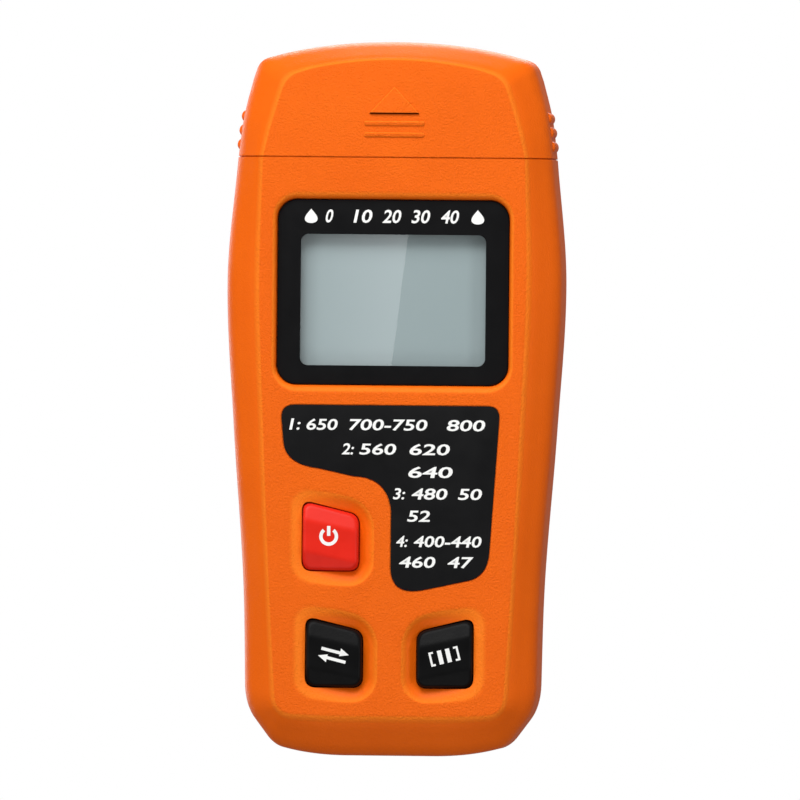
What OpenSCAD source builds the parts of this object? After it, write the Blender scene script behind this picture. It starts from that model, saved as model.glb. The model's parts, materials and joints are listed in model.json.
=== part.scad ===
// Handheld two-pin moisture meter: a two-shell case, a pull-off pin cap, three keys, a display,
// a board and a 9 V block battery behind a hinged door. Millimetres.
//
// The meter is drawn lying on its back: x across, y up its length from the foot, z out of its
// front. The module upright() then stands it on its foot with its front facing -Y.

/* [Case] */
// Greatest width of the case, beside the display
case_w = 65; // [64:0.5:66]
// Height from the foot to the top of the cap
case_h = 138.3; // [137.5:0.1:139.5]
// Thickness of the case, without the keys
case_d = 28; // [28:0.1:28.6]
// Height of the seam between case and cap
seam_y = 115.75; // [115.5:0.05:116.25]
// Depth at which the front and rear shells meet
split_z = 13.5; // [12.5:0.5:15]
// Thickness of the flat walls
wall = 2; // [1.9:0.05:2.1]

/* [Display] */
// Width of the lens
lens_w = 44.8; // [43:0.1:45]
// Height of the lens
lens_h = 35.8; // [34:0.1:36]
// Height of the lens centre above the foot
lens_y = 89.75; // [89:0.25:90.5]
// Depth of the lens face below the front face
lens_sink = 1.4; // [1.2:0.1:1.6]

/* [Keys] */
// Width of a key
key_w = 10.8; // [10:0.1:11]
// Height of a key on its taller, outer side
key_h = 13.4; // [13:0.1:14]
// How far a key's top edge slopes down towards the middle of the case
key_slope = 14; // [8:1:16]
// How far a key stands out of the front face
key_proud = 0.8; // [0.6:0.1:1]

/* [Pins] */
// Distance between the two measuring pins
pin_gap = 25; // [24:0.5:26]
// Diameter of a measuring pin
pin_d = 2.3; // [2:0.1:2.6]

/* [Battery door] */
// Width of the battery door
door_w = 30; // [29.5:0.1:30.2]
// Height of the door's lower edge above the foot
door_y = 6; // [5.8:0.1:6.2]
// Height of the door's upper edge above the foot
door_top = 61.8; // [61.6:0.1:62]

/* [Hidden] */

ORANGE = [0.95, 0.42, 0.08];
BLACK = [0.08, 0.08, 0.09];
RED = [0.82, 0.12, 0.08];
STEEL = [0.75, 0.76, 0.78];
BRASS = [0.80, 0.66, 0.32];
BOARD = [0.10, 0.42, 0.22];

half_w = case_w / 2;
gap = 0.2;                          // gap between pieces that part
eps = 0.01;

// Depths of the stack behind the front face
lens_t = 1.1;
tape_t = 0.15;
ledge_z = case_d - lens_sink - lens_t - tape_t;
ledge_t = 1.35;
board_z = case_d - 7.8;             // rear of the board
board_t = 1.2;
board_top = board_z + board_t;
glass_z = board_top + 1.1;
glass_t = 1.4;
ceiling_z = case_d - wall;          // inside of the front wall
pad_z = case_d - 3;                 // underside of the front wall behind the keys

// Display window, a little below the middle of the lens
window_y = lens_y - 1.5;

// Keys: [x, y, side of the case, +1 right or -1 left]
power_at = [-11.6, 42.75, -1];
mode_at = [-10.75, 20.25, -1];
hold_at = [10.75, 20.25, 1];
key_corner = 1.9;
key_bevel = 3.4;                    // width of a key's upper and lower facets
flange_t = 0.9;
flange_z = case_d - 4.1;
flange_edge = 0.9;
stem_top = case_d - 4.4;

// Board screws, case screws: places on the right-hand side, mirrored to the left
board_screw_at = [[19.3, 67.5], [19.3, 108.5]];
case_screw_at = [[21.2, 15.5], [25.8, 108]];

// Battery, a 9 V block
battery_w = 26.4;
battery_d = 17.4;
battery_h = 46.4;
battery_y = 10;
battery_z = 2.3;
terminal_h = 2.1;
terminal_x = 6.35;
door_t = 1.5;

// The door turns on two curved hooks, drawn about the outer corner of its lower edge
hook_x = [5.2, 10.8];
hook_r = [2.0, 3.3];
hook_play = 0.3;

pin_x = pin_gap / 2;
pin_z = 14;
neck_top = seam_y + 6;
holder_top = neck_top + 0.9;
pin_tip = seam_y + 17.8;

full_depth = case_d + key_proud;

// ---------- curves ----------

function lerp(a, b, t) = a + (b - a) * t;
function reverse(v) = [for (i = [len(v) - 1 : -1 : 0]) v[i]];
function bezier(a, b, c, n) = [for (i = [0 : n]) let (t = i / n)
    a * pow(1 - t, 2) + b * 2 * t * (1 - t) + c * pow(t, 2)];

// Cubic through stations [y, x], with slopes taken from the neighbours
function slope(s, i) = let (a = max(i - 1, 0), b = min(i + 1, len(s) - 1))
    (s[b][1] - s[a][1]) / (s[b][0] - s[a][0]);
function station(s, y, i = 0) = i >= len(s) - 2 || y <= s[i + 1][0] ? i : station(s, y, i + 1);
function curve(s, y) = let (i = station(s, y), h = s[i + 1][0] - s[i][0], t = (y - s[i][0]) / h)
    (2 * pow(t, 3) - 3 * t * t + 1) * s[i][1] + (pow(t, 3) - 2 * t * t + t) * h * slope(s, i)
    + (3 * t * t - 2 * pow(t, 3)) * s[i + 1][1] + (pow(t, 3) - t * t) * h * slope(s, i + 1);
function side(s, from, to, n) = [for (i = [0 : n]) let (y = lerp(from, to, i / n))
    [curve(s, y), y]];

// A closed outline from its right half, whose points stay clear of the middle line
function mirrored(right) = concat(right, [for (p = reverse(right)) [-p[0], p[1]]]);

// ---------- outlines of the case ----------

// Half widths at heights above the foot: the silhouette, and the edge of the flat front face
rim_stations = [[10, half_w - 4.2], [34, half_w - 3.6], [63, half_w - 1.5], [92, half_w],
    [seam_y, half_w - 1.9]];
face_stations = [[9, half_w - 10.7], [34, half_w - 9.2], [63, half_w - 7.9], [90, half_w - 6.9],
    [seam_y, half_w - 7.3]];
cap_rim_stations = [[seam_y, half_w - 1.9], [124, half_w - 3.0], [132, half_w - 5.0]];
cap_face_stations = [[seam_y, half_w - 7.3], [121, half_w - 8.6], [128, half_w - 10.7]];
foot_half = 8.75;
face_foot_y = 8.05;
side_steps = 14;

rim = mirrored(concat(
    bezier([foot_half, 0], [15.2, 0.05], [20.4, 1.4], 4),
    bezier([21, 1.55], [22.7, 2.1], [24, 3.9], 3),
    bezier([26.3, 7], [half_w - 4.2, 9.6], [curve(rim_stations, 14), 14], 4),
    side(rim_stations, 20, seam_y, side_steps)));
face = mirrored(concat(
    bezier([foot_half, face_foot_y], [14.5, face_foot_y], [18.6, face_foot_y + 0.25], 4),
    bezier([19.1, face_foot_y + 0.3], [20.3, face_foot_y + 0.45], [21, 9.1], 3),
    bezier([21.3, 9.4], [21.8, 10], [curve(face_stations, 12), 12], 4),
    side(face_stations, 18, seam_y, side_steps)));

cap_rim = mirrored(concat(
    side(cap_rim_stations, seam_y, 131, 7),
    bezier([27.25, 132.4], [26.7, 134.6], [24.6, 135.15], 5),
    bezier([22, 135.85], [12, case_h], [1, case_h], 8)));
cap_face = mirrored(concat(
    side(cap_face_stations, seam_y, 127, 7),
    bezier([21.6, 128.4], [20.9, 131.3], [17.9, 132.15], 5),
    bezier([15.8, 132.8], [8, case_h - 3.75], [1, case_h - 3.75], 8)));

// Sections from rim to face: [share of the way in from the rim, z]
bevel = [[0, case_d - 7.2], [0.025, case_d - 6.1], [0.09, case_d - 5.1], [0.22, case_d - 4],
    [0.45, case_d - 2.6], [0.68, case_d - 1.25], [0.86, case_d - 0.38], [0.95, case_d - 0.08],
    [1, case_d]];
back_round = [for (t = [90 : -15 : 0]) [0.55 * (1 - cos(t)), 4.6 * (1 - sin(t))]];
inner_bevel = [[0.31, case_d - 8], [0.36, case_d - 6.4], [0.55, case_d - 4.6],
    [0.8, case_d - 2.8], [1, ceiling_z]];
inner_back = [[0.62, 1.7], [0.46, 2.5], [0.36, 3.5], [0.31, 5]];

front_profile = concat([[0, split_z]], bevel);
rear_profile = concat(back_round, [[0, split_z]]);
cap_profile = concat(back_round, bevel);
inner_front_profile = concat([[0.31, split_z - 1]], inner_bevel);
inner_rear_profile = concat(inner_back, [[0.31, split_z + 1]]);
inner_cap_profile = concat(inner_back, inner_bevel);

function section(outer, inner, k, z) = [for (i = [0 : len(outer) - 1])
    [lerp(outer[i][0], inner[i][0], k), lerp(outer[i][1], inner[i][1], k), z]];
function sections(outer, inner, profile) = [for (p = profile) section(outer, inner, p[0], p[1])];

// ---------- solids from rings ----------

// A closed solid through rings of equal, even length, first ring lowest, each anticlockwise from
// above. Its ends are ladders of quads between the first and second halves of a ring.
module loft(rings) {
    n = len(rings[0]);
    m = len(rings);
    top = (m - 1) * n;
    polyhedron(
        points = [for (r = rings) for (p = r) p],
        faces = concat(
            [for (i = [0 : n / 2 - 2]) [i, i + 1, n - 2 - i, n - 1 - i]],
            [for (j = [0 : m - 2]) for (i = [0 : n - 1]) let (a = j * n + i, b = j * n + (i + 1) % n)
                [a, a + n, b]],
            [for (j = [0 : m - 2]) for (i = [0 : n - 1]) let (a = j * n + i, b = j * n + (i + 1) % n)
                [b, a + n, b + n]],
            [for (i = [0 : n / 2 - 2]) [top + n - 1 - i, top + n - 2 - i, top + i + 1, top + i]]),
        convexity = 8);
}

function unit(v) = v / norm(v);
function tangent(path, i) = unit(path[min(i + 1, len(path) - 1)] - path[max(i - 1, 0)]);
function wire_ring(path, i, r, sides) = let (t = tangent(path, i), u = unit(cross(t, [1, 0, 0])),
        v = cross(t, u))
    [for (k = [0 : sides - 1]) path[i] + r * (cos(360 * k / sides) * u + sin(360 * k / sides) * v)];

// A wire along a path of points, as one closed tube
module wire(path, d, sides = 8) {
    loft(reverse([for (i = [0 : len(path) - 1]) wire_ring(path, i, d / 2, sides)]));
}

// A rounded rectangle about the origin
function rounded(w, h, r, n = 6) = [for (c = [[1, 1, 0], [-1, 1, 90], [-1, -1, 180], [1, -1, 270]])
    for (i = [0 : n]) let (a = c[2] + 90 * i / n)
    [c[0] * (w / 2 - r) + r * cos(a), c[1] * (h / 2 - r) + r * sin(a)]];
function raised(outline, at, z) = [for (p = outline) [p[0] + at[0], p[1] + at[1], z]];

// A flat plate with rounded corners, centred on at, from z to z + t
module plate(w, h, r, at, z, t) {
    translate([at[0], at[1], z]) linear_extrude(t) polygon(rounded(w, h, r));
}

module box(x0, x1, y0, y1, z0, z1) {
    translate([x0, y0, z0]) cube([x1 - x0, y1 - y0, z1 - z0]);
}

module upright() {
    translate([0, full_depth / 2, 0]) rotate([90, 0, 0]) children();
}

// Both sides of the case
module both_sides() {
    children();
    mirror([1, 0, 0]) children();
}

module peg(at, r, z0, z1) {
    translate([at[0], at[1], z0]) cylinder(r = r, h = z1 - z0, $fn = 48);
}

// ---------- the neck under the cap ----------

neck_half = half_w - 4.9;
neck_wall = 1.5;
// Right half of the neck's section as [x, z], from the split towards the front or the rear
function neck_front(e) = [[neck_half - e, split_z], [neck_half - e, 19.5], [neck_half - 0.7 - e, 22.2],
    [neck_half - 2.6 - e, 24.4 - e * 0.7], [neck_half - 5.4 - e, case_d - 2.5 - e]];
function neck_rear(e) = [[neck_half - e, split_z], [neck_half - e, 6], [neck_half - 1.2 - e, 3.6 + e * 0.7],
    [neck_half - 3.4 - e, 2.3 + e]];
// The section drawn up the length from y0 to y1
module neck_bar(half, y0, y1) {
    translate([0, y1, 0]) rotate([90, 0, 0]) linear_extrude(y1 - y0) polygon(mirrored(half));
}

// ---------- case ----------

module front_body() {
    loft(sections(rim, face, front_profile));
}

module rear_body() {
    loft(sections(rim, face, rear_profile));
}

// Hollow of a shell, stopped short of the seam
function capped(rings, y) = [for (r = rings) [for (p = r) [p[0], min(p[1], y), p[2]]]];

module display_recess() {
    rim_w = lens_w + 2.7;
    rim_h = lens_h + 3.9;
    loft([
        raised(rounded(lens_w + 0.3, lens_h + 0.3, 3.9), [0, lens_y], ledge_z),
        raised(rounded(lens_w + 0.3, lens_h + 0.3, 3.9), [0, lens_y], case_d - lens_sink + 0.1),
        raised(rounded(rim_w - 0.7, rim_h - 1, 5), [0, lens_y], case_d - 0.4),
        raised(rounded(rim_w, rim_h, 5.5), [0, lens_y], case_d),
        raised(rounded(rim_w + 1, rim_h + 1, 6), [0, lens_y], case_d + 1)]);
    plate(38.5, 28.6, 1.2, [0, window_y], ledge_z - 4, 5);
}

// Outline of a key, taller on its outer side: s is +1 on the right of the case, -1 on the left
function key_outline(s, grow) = let (w = key_w / 2, h = key_h / 2, r = key_corner,
        tilt = tan(key_slope), high = h + grow, low = h - key_w * tilt + grow, out = w + grow,
        points = concat(
            bezier([out, r - h], [out, -high], [w - r, -high], 5),
            bezier([r - w, -high], [-out, -high], [-out, r - h], 5),
            bezier([-out, low - grow - r], [-out, low], [r - w, low + r * tilt], 5),
            bezier([w - r, high - r * tilt], [out, high], [out, h - r], 5)))
    [for (p = points) [s * p[0], p[1]]];
function ordered(outline, s) = s > 0 ? reverse(outline) : outline;

// The dished pocket round a key: deep on the side towards the middle, fading out on the outer side
function pocket_ring(at, s, grow_in, grow_out, z_in, z_out) = [for (p = ordered(key_outline(s, 0), s))
    let (inward = 0.5 - s * p[0] / key_w, grow = lerp(grow_out, grow_in, inward),
        len = max(norm(p), eps))
    [at[0] + p[0] * (1 + grow / len), at[1] + p[1] * (1 + grow / len), lerp(z_out, z_in, inward)]];
module key_pocket(at) {
    s = at[2];
    loft([
        pocket_ring(at, s, 0.8, 0.5, case_d - 1.8, case_d - 0.9),
        pocket_ring(at, s, 1.9, 1.1, case_d - 1.5, case_d - 0.6),
        pocket_ring(at, s, 2.9, 1.8, case_d - 0.45, case_d - 0.12),
        pocket_ring(at, s, 3.6, 2.4, case_d + 0.05, case_d + 0.05),
        pocket_ring(at, s, 3.8, 2.6, case_d + 1, case_d + 1)]);
}
module key_prism(at, grow, z0, z1) {
    translate([at[0], at[1], z0]) linear_extrude(z1 - z0) polygon(key_outline(at[2], grow));
}

// Outline of the label: a wide head with a leg down its right-hand side
label_points = concat(
    bezier([18.6, 67.85], [21.1, 67.85], [20.9, 65.2], 4),
    bezier([19.2, 39.6], [18.9, 35], [15.2, 34.1], 5),
    bezier([6.4, 32.2], [0.2, 31], [0.1, 36.4], 5),
    bezier([0.1, 47.5], [-0.6, 54], [-7.2, 54.1], 5),
    bezier([-14, 55.6], [-20.6, 56.3], [-20.9, 60.8], 5),
    bezier([-21.3, 65], [-21.5, 67.85], [-18.6, 67.85], 4));
module label_shape(grow) {
    offset(delta = grow) polygon(label_points);
}

module case_posts() {
    both_sides() {
        peg(case_screw_at[0], 3, split_z, ceiling_z + 0.3);
        peg(case_screw_at[1], 3, split_z, ceiling_z - 2);
        for (p = board_screw_at) peg(p, 2.2, board_top, ceiling_z + 0.3);
    }
    for (p = [[0, 20], [4.5, 45], [14, 45]]) peg(p, 1.6, board_top, ceiling_z + 0.3);
}

// The hollow front half of the case with its neck, before anything is let into its face
module front_walls() {
    difference() {
        front_body();
        loft(capped(sections(rim, face, inner_front_profile), seam_y - 2));
    }
    neck_bar(neck_front(0), seam_y - 1, neck_top);
    both_sides() box(8, 16, seam_y + 2.6, seam_y + 3.6, case_d - 3, case_d - 2.2);
}

module front_shell() {
    color(ORANGE) upright() difference() {
        union() {
            front_walls();
            box(-24.6, 24.6, lens_y - 21, lens_y + 21, ledge_z - ledge_t, ceiling_z + 0.5);
            for (at = [power_at, mode_at, hold_at]) key_prism(at, 4, pad_z, ceiling_z + 0.5);
            case_posts();
        }
        neck_bar(neck_front(neck_wall), seam_y - 3, neck_top - 1.6);
        holder_slot();
        display_recess();
        translate([0, 0, case_d - 0.35]) linear_extrude(2) label_shape(0.15);
        for (at = [power_at, mode_at, hold_at]) {
            key_pocket(at);
            key_prism(at, gap, pad_z - 1, case_d + 1);
        }
        both_sides() {
            for (p = case_screw_at) peg(p, 1.42, split_z - 1, ceiling_z - 3);
            for (p = board_screw_at) peg(p, 1.02, board_z - 1, ceiling_z - 0.8);
        }
    }
}

// Frame round the battery door's opening, and the walls of the battery space
module battery_bay() {
    in_w = 13.6;
    out_w = 14.8;
    box(-17.6, 17.6, 3.6, 65.6, 0.6, 3.2);
    both_sides() box(in_w, out_w, 8.4, 61.7, 3, 19.8);
    box(-out_w, out_w, 8.4, 9.6, 4.6, 19.8);
    box(-out_w, out_w, 60.5, 61.7, 3, 19.8);
}

// A cylinder about the door's hinge line, from x0 to x1
module hinge_round(x0, x1, r) {
    translate([x0, door_y, 0]) rotate([0, 90, 0]) cylinder(r = r, h = x1 - x0, $fn = 64);
}

module bay_cuts() {
    box(-door_w / 2 - gap, door_w / 2 + gap, door_y, door_top + gap, -1, door_t + gap);
    box(-13.6, 13.6, 8.2, 60.5, -1, 4);
    both_sides() difference() {
        hinge_round(hook_x[0] - 0.4, hook_x[1] + 0.4, hook_r[1] + hook_play);
        hinge_round(hook_x[0] - 1, hook_x[1] + 1, hook_r[0] - hook_play);
        box(hook_x[0] - 1, hook_x[1] + 1, door_y - 5, door_y + 5, -5, 0.8);
    }
    box(-4.6, 4.6, 60, 64.5, -1, 6.4);
    box(-9, -3, 60, 62, 14.6, 20);
}

module rear_shell() {
    color(ORANGE) upright() difference() {
        union() {
            difference() {
                rear_body();
                loft(capped(sections(rim, face, inner_rear_profile), seam_y - 2));
            }
            neck_bar(reverse(neck_rear(0)), seam_y - 1, neck_top);
            battery_bay();
            both_sides() for (p = case_screw_at) peg(p, 4.1, 1, split_z);
            both_sides() box(8, 16, seam_y + 2.6, seam_y + 3.6, 2, 2.6);
        }
        neck_bar(reverse(neck_rear(neck_wall)), seam_y - 3, neck_top - 1.6);
        holder_slot();
        bay_cuts();
        both_sides() for (p = case_screw_at) {
            peg(p, 2.9, -1, 8.5);
            peg(p, 1.6, 8, split_z + 1);
        }
    }
}

// The slot in the neck's top that the pin holder passes through
module holder_slot() {
    box(-16.6, 16.6, neck_top - 2, neck_top + 1, pin_z - 4.6, pin_z + 4.6);
}

// ---------- cap ----------

module cap_hollow() {
    rings = sections(cap_rim, cap_face, inner_cap_profile);
    last = len(cap_rim) - 1;
    loft([for (r = rings) [for (i = [0 : last])
        [r[i][0], i == 0 || i == last ? seam_y - 1 : lerp(seam_y, r[i][1], 0.965), r[i][2]]]]);
}

module cap_mark() {
    mark_z = case_d - 0.2;
    mark_t = 0.5;
    translate([0, 0, mark_z]) linear_extrude(mark_t) {
        polygon([[-5, 124.25], [5, 124.25], [0, 129.55]]);
        for (y = [122.45, 120.25]) translate([-5.85, y - 0.42]) square([11.7, 0.84]);
    }
}

module protective_cap() {
    color(ORANGE) upright() {
        difference() {
            union() {
                loft([for (r = sections(cap_rim, cap_face, cap_profile))
                    [for (p = r) [p[0], max(p[1], seam_y + 0.25), p[2]]]]);
                both_sides() for (y = [123.7, 120.95, 118.2])
                    translate([curve(cap_rim_stations, y) - 0.65, y, 7]) cylinder(r = 1.25, h = 13, $fn = 32);
                cap_mark();
            }
            cap_hollow();
        }
    }
}

// ---------- battery door ----------

module battery_door() {
    color(ORANGE) upright() {
        box(-door_w / 2, door_w / 2, door_y + 0.15, door_top, 0, door_t);
        box(-4.3, 4.3, door_top - 1, door_top + 2.1, 0, door_t);
        both_sides() difference() {
            hinge_round(hook_x[0], hook_x[1], hook_r[1]);
            hinge_round(hook_x[0] - 1, hook_x[1] + 1, hook_r[0]);
            box(hook_x[0] - 1, hook_x[1] + 1, door_y - 5, door_y + 5, -5, door_t / 2);
            box(hook_x[0] - 1, hook_x[1] + 1, door_y - 5, door_y, -5, 1.9);
        }
        box(-3.6, 3.6, 60.8, 61.6, door_t - 0.5, 5.6);
        for (i = [0 : 4]) box(-7, 7, 52.6 - 1.8 * i, 53.2 - 1.8 * i, door_t - 0.5, door_t + 0.3);
    }
}

module door_foam() {
    color([0.2, 0.2, 0.22]) upright() box(-9, 9, 14, 42, door_t, door_t + 0.6);
}

// ---------- display ----------

module display_lens() {
    color([0.05, 0.05, 0.06, 0.6]) upright()
        plate(lens_w, lens_h, 3.8, [0, lens_y], case_d - lens_sink - lens_t, lens_t);
}

module lens_tape() {
    color(BLACK) upright() difference() {
        plate(lens_w - 0.8, lens_h - 0.8, 3.4, [0, lens_y], ledge_z, tape_t);
        plate(39.5, 29.4, 1.4, [0, window_y], ledge_z - 1, 2);
    }
}

module lcd_polariser() {
    color([0.62, 0.68, 0.68]) upright()
        plate(37.6, 27.6, 0.3, [0, window_y], glass_z + glass_t, 0.2);
}

module lcd_glass() {
    color([0.66, 0.72, 0.72]) upright()
        plate(41, 31.4, 0.3, [0, window_y], glass_z, glass_t);
}

module lcd_reflector() {
    color([0.72, 0.74, 0.72]) upright()
        plate(38.4, 25.6, 0.3, [0, window_y], glass_z - 0.25, 0.25);
}

module lcd_frame() {
    color(BLACK) upright() difference() {
        plate(43.6, 34, 1, [0, window_y], board_top, glass_z + glass_t - board_top);
        plate(41.2, 31.6, 0.4, [0, window_y], glass_z, 3);
        plate(39, 30, 0.4, [0, window_y], board_top - 1, 5);
    }
}

module zebra(y) {
    color([0.85, 0.45, 0.5]) upright()
        box(-18.8, 18.8, y - 0.9, y + 0.9, board_top, glass_z);
}

// ---------- board and what is on it ----------

board_outline = mirrored([[17.2, 12], [17.2, 62], [18.4, 63.5], [22, 63.5], [22, 111]]);

module main_pcb() {
    color(BOARD) upright() difference() {
        translate([0, 0, board_z]) linear_extrude(board_t) polygon(board_outline);
        both_sides() for (p = board_screw_at) peg(p, 1.2, board_z - 1, board_top + 1);
    }
}

module chip_blob() {
    color(BLACK) upright() translate([0, window_y, board_z]) rotate([180, 0, 0])
        rotate_extrude($fn = 48) polygon([[0, 0], [6, 0], [5.6, 0.6], [4.2, 1.2], [0, 1.5]]);
}

module amplifier_chip() {
    upright() {
        color(BLACK) box(6, 11, 68, 72, board_z - 1.6, board_z - 0.15);
        color(STEEL) for (i = [0 : 3]) for (s = [-1, 1]) {
            x = 6.6 + 1.27 * i;
            box(x - 0.2, x + 0.2, 70 + s * 2.5 - 0.6, 70 + s * 2.5 + 0.6, board_z - 0.7, board_z);
        }
    }
}

smd_at = [[-0.5, 70], [-3, 70], [0, 66], [3, 69], [14, 66], [14, 70], [-17, 96], [-14, 96], [-11, 96],
    [9, 97], [12, 97], [15, 97], [14, 80], [14, 84], [-15, 84], [-15, 88]];
module smd_parts() {
    color([0.55, 0.5, 0.42]) upright() for (p = smd_at)
        box(p[0] - 1, p[0] + 1, p[1] - 0.6, p[1] + 0.6, board_z - 0.6, board_z);
}

module filter_capacitor() {
    color([0.16, 0.2, 0.34]) upright() translate([-12, 69, board_z - 2.6]) rotate([-90, 0, 0])
        cylinder(d = 5, h = 10.5, $fn = 48);
}

module switch_base(at) {
    color(BLACK) upright() difference() {
        box(at[0] - 2.6, at[0] + 2.6, at[1] - 2.6, at[1] + 2.6, board_top, board_top + 1.5);
        peg(at, 1.6, board_top + 0.1, board_top + 2);
    }
}

module switch_cover(at) {
    color(STEEL) upright() difference() {
        box(at[0] - 2.6, at[0] + 2.6, at[1] - 2.6, at[1] + 2.6, board_top + 1.5, board_top + 1.7);
        peg(at, 1.25, board_top + 1, board_top + 2);
    }
}

module switch_stem(at) {
    color([0.85, 0.82, 0.75]) upright() {
        peg(at, 1.45, board_top + 0.8, board_top + 1.1);
        peg(at, 1.15, board_top + 0.8, stem_top);
    }
}

// ---------- keys ----------

// A key: three facets across its top, a flange that stops it in the case and a post on the switch
module key(at, shade) {
    s = at[2];
    top = case_d + key_proud;
    shoulder = case_d - 0.9;
    low = -key_h / 2;
    high = key_h / 2;
    color(shade) upright() {
        intersection() {
            key_prism(at, 0, flange_z, top);
            translate([at[0], at[1] - key_w * tan(key_slope) / 2, 0]) rotate([0, 0, s * key_slope])
                translate([-20, 0, 0]) rotate([90, 0, 90]) linear_extrude(40)
                    polygon([[-20, flange_z - 1], [20, flange_z - 1], [20, shoulder - 2],
                        [high + 1.2, shoulder], [high - key_bevel, top - 0.05], [0, top - 0.3],
                        [low + key_bevel + 0.8, top], [low - 1, shoulder - 0.3], [-20, shoulder - 2]]);
        }
        key_prism(at, flange_edge, flange_z, flange_z + flange_t);
        peg(at, 2, stem_top, flange_z + eps);
    }
}

module wood_label() {
    color(BLACK) upright() translate([0, 0, case_d - 0.35]) linear_extrude(0.25) label_shape(0);
}

// ---------- pins ----------

module along_y(at_x, r, y0, y1) {
    translate([at_x, y0, pin_z]) rotate([-90, 0, 0]) cylinder(r = r, h = y1 - y0, $fn = 48);
}

module pin_holder() {
    color(BLACK) upright() difference() {
        union() {
            box(-18, 18, 112, neck_top - 1.6, pin_z - 6.4, pin_z + 5.9);
            box(-16.4, 16.4, 112, holder_top - 0.4, pin_z - 4.4, pin_z + 4.4);
            both_sides() along_y(pin_x, 3.9, 113, holder_top);
        }
        both_sides() along_y(pin_x, 2.82, 111, holder_top + 1);
    }
}

module pin_socket(x) {
    color(BRASS) upright() difference() {
        union() {
            along_y(x, 2.8, 110.5, holder_top);
            along_y(x, 1.6, 107.5, 111);
        }
        along_y(x, 1.27, holder_top - 8, holder_top + 1);
    }
}

module pin(x) {
    tip = 3.4;
    color(STEEL) upright() {
        along_y(x, 1.25, holder_top - 7.5, holder_top + 0.5);
        along_y(x, 2.1, holder_top, holder_top + 1.8);
        along_y(x, pin_d / 2, holder_top + 1.7, pin_tip - tip);
        translate([x, pin_tip - tip, pin_z]) rotate([-90, 0, 0])
            cylinder(r1 = pin_d / 2, r2 = 0.12, h = tip, $fn = 48);
    }
}

module pin_lead(s, shade) {
    color(shade) upright() wire(
        [[s * pin_x, 107.4, pin_z], [s * pin_x, 106, pin_z], [s * 12.3, 104, pin_z + 0.4],
            [s * 12, 102, pin_z + 1.6], [s * 11.6, 100.6, pin_z + 3.4], [s * 11.5, 100, pin_z + 5],
            [s * 11.5, 99.9, board_z]], 1.2);
}

// ---------- battery ----------

function terminal_z() = battery_z + battery_d / 2;

module upward(x, r1, r2, y0, y1) {
    translate([x, y0, terminal_z()]) rotate([-90, 0, 0]) cylinder(r1 = r1, r2 = r2, h = y1 - y0, $fn = 48);
}

module battery() {
    color([0.25, 0.27, 0.3]) upright() translate([0, battery_y + battery_h, battery_z + battery_d / 2])
        rotate([90, 0, 0]) linear_extrude(battery_h) polygon(rounded(battery_w, battery_d, 2));
}

module battery_terminals() {
    top = battery_y + battery_h;
    color(STEEL) upright() {
        upward(terminal_x, 2.7, 2.7, top, top + terminal_h);
        difference() {
            upward(-terminal_x, 4.1, 4.1, top, top + terminal_h);
            upward(-terminal_x, 3.3, 3.3, top + 0.3, top + terminal_h + 1);
        }
    }
}

module battery_snap() {
    color(BLACK) upright() translate([0, 60.2, terminal_z()]) rotate([90, 0, 0])
        linear_extrude(1.1) polygon(rounded(25.6, 13, 3));
}

module battery_snap_contacts() {
    top = battery_y + battery_h;
    color(STEEL) upright() {
        difference() {
            upward(terminal_x, 3.6, 3.6, top + 0.4, 59.1);
            upward(terminal_x, 2.9, 2.9, top, 58.7);
        }
        upward(-terminal_x, 3.1, 3.1, top + 0.6, 59.1);
    }
}

module battery_lead(x, shade) {
    color(shade) upright() wire(
        [[x, 60.22, 16.4], [x, 61.4, 16.4], [x - 0.3, 62.8, 16.7], [x - 0.8, 64, 17.3], [x - 1, 65, 18],
            [x - 1, 65.7, 18.8], [x - 1, 66, 19.6], [x - 1, 66, board_z - 0.02]], 1.3);
}

// ---------- screws ----------

module case_screws() {
    color(STEEL) upright() both_sides() for (p = case_screw_at) difference() {
        union() {
            peg(p, 2.6, 6.9, 8.5);
            peg(p, 1.4, 8.4, 20);
        }
        for (a = [0, 90]) translate([p[0], p[1], 6.8]) rotate([0, 0, a]) translate([-1.5, -0.3, 0])
            cube([3, 0.6, 1]);
    }
}

module pcb_screws() {
    color(STEEL) upright() both_sides() for (p = board_screw_at) difference() {
        union() {
            peg(p, 1.8, board_z - 1.2, board_z);
            peg(p, 1, board_z - 0.1, board_z + 4.6);
        }
        for (a = [0, 90]) translate([p[0], p[1], board_z - 1.3]) rotate([0, 0, a])
            translate([-1.1, -0.22, 0]) cube([2.2, 0.44, 0.8]);
    }
}

front_shell();
rear_shell();
protective_cap();
battery_door();
door_foam();
display_lens();
lens_tape();
lcd_polariser();
lcd_glass();
lcd_reflector();
lcd_frame();
zebra(window_y + 13.9);  // zebra_strip_upper
zebra(window_y - 13.9);  // zebra_strip_lower
main_pcb();
chip_blob();
amplifier_chip();
smd_parts();
filter_capacitor();
switch_base(power_at);  // power_switch_base
switch_cover(power_at);  // power_switch_cover
switch_stem(power_at);  // power_switch_stem
switch_base(mode_at);  // mode_switch_base
switch_cover(mode_at);  // mode_switch_cover
switch_stem(mode_at);  // mode_switch_stem
switch_base(hold_at);  // hold_switch_base
switch_cover(hold_at);  // hold_switch_cover
switch_stem(hold_at);  // hold_switch_stem
key(power_at, RED);  // power_button
key(mode_at, BLACK);  // mode_button
key(hold_at, BLACK);  // hold_button
wood_label();
pin_holder();
pin_socket(-pin_x);  // pin_socket_left
pin_socket(pin_x);  // pin_socket_right
pin(-pin_x);  // pin_left
pin(pin_x);  // pin_right
pin_lead(-1, RED);  // pin_lead_left
pin_lead(1, BLACK);  // pin_lead_right
battery();
battery_terminals();
battery_snap();
battery_snap_contacts();
battery_lead(-4.4, RED);  // battery_lead_red
battery_lead(-6.6, BLACK);  // battery_lead_black
case_screws();
pcb_screws();
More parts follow.
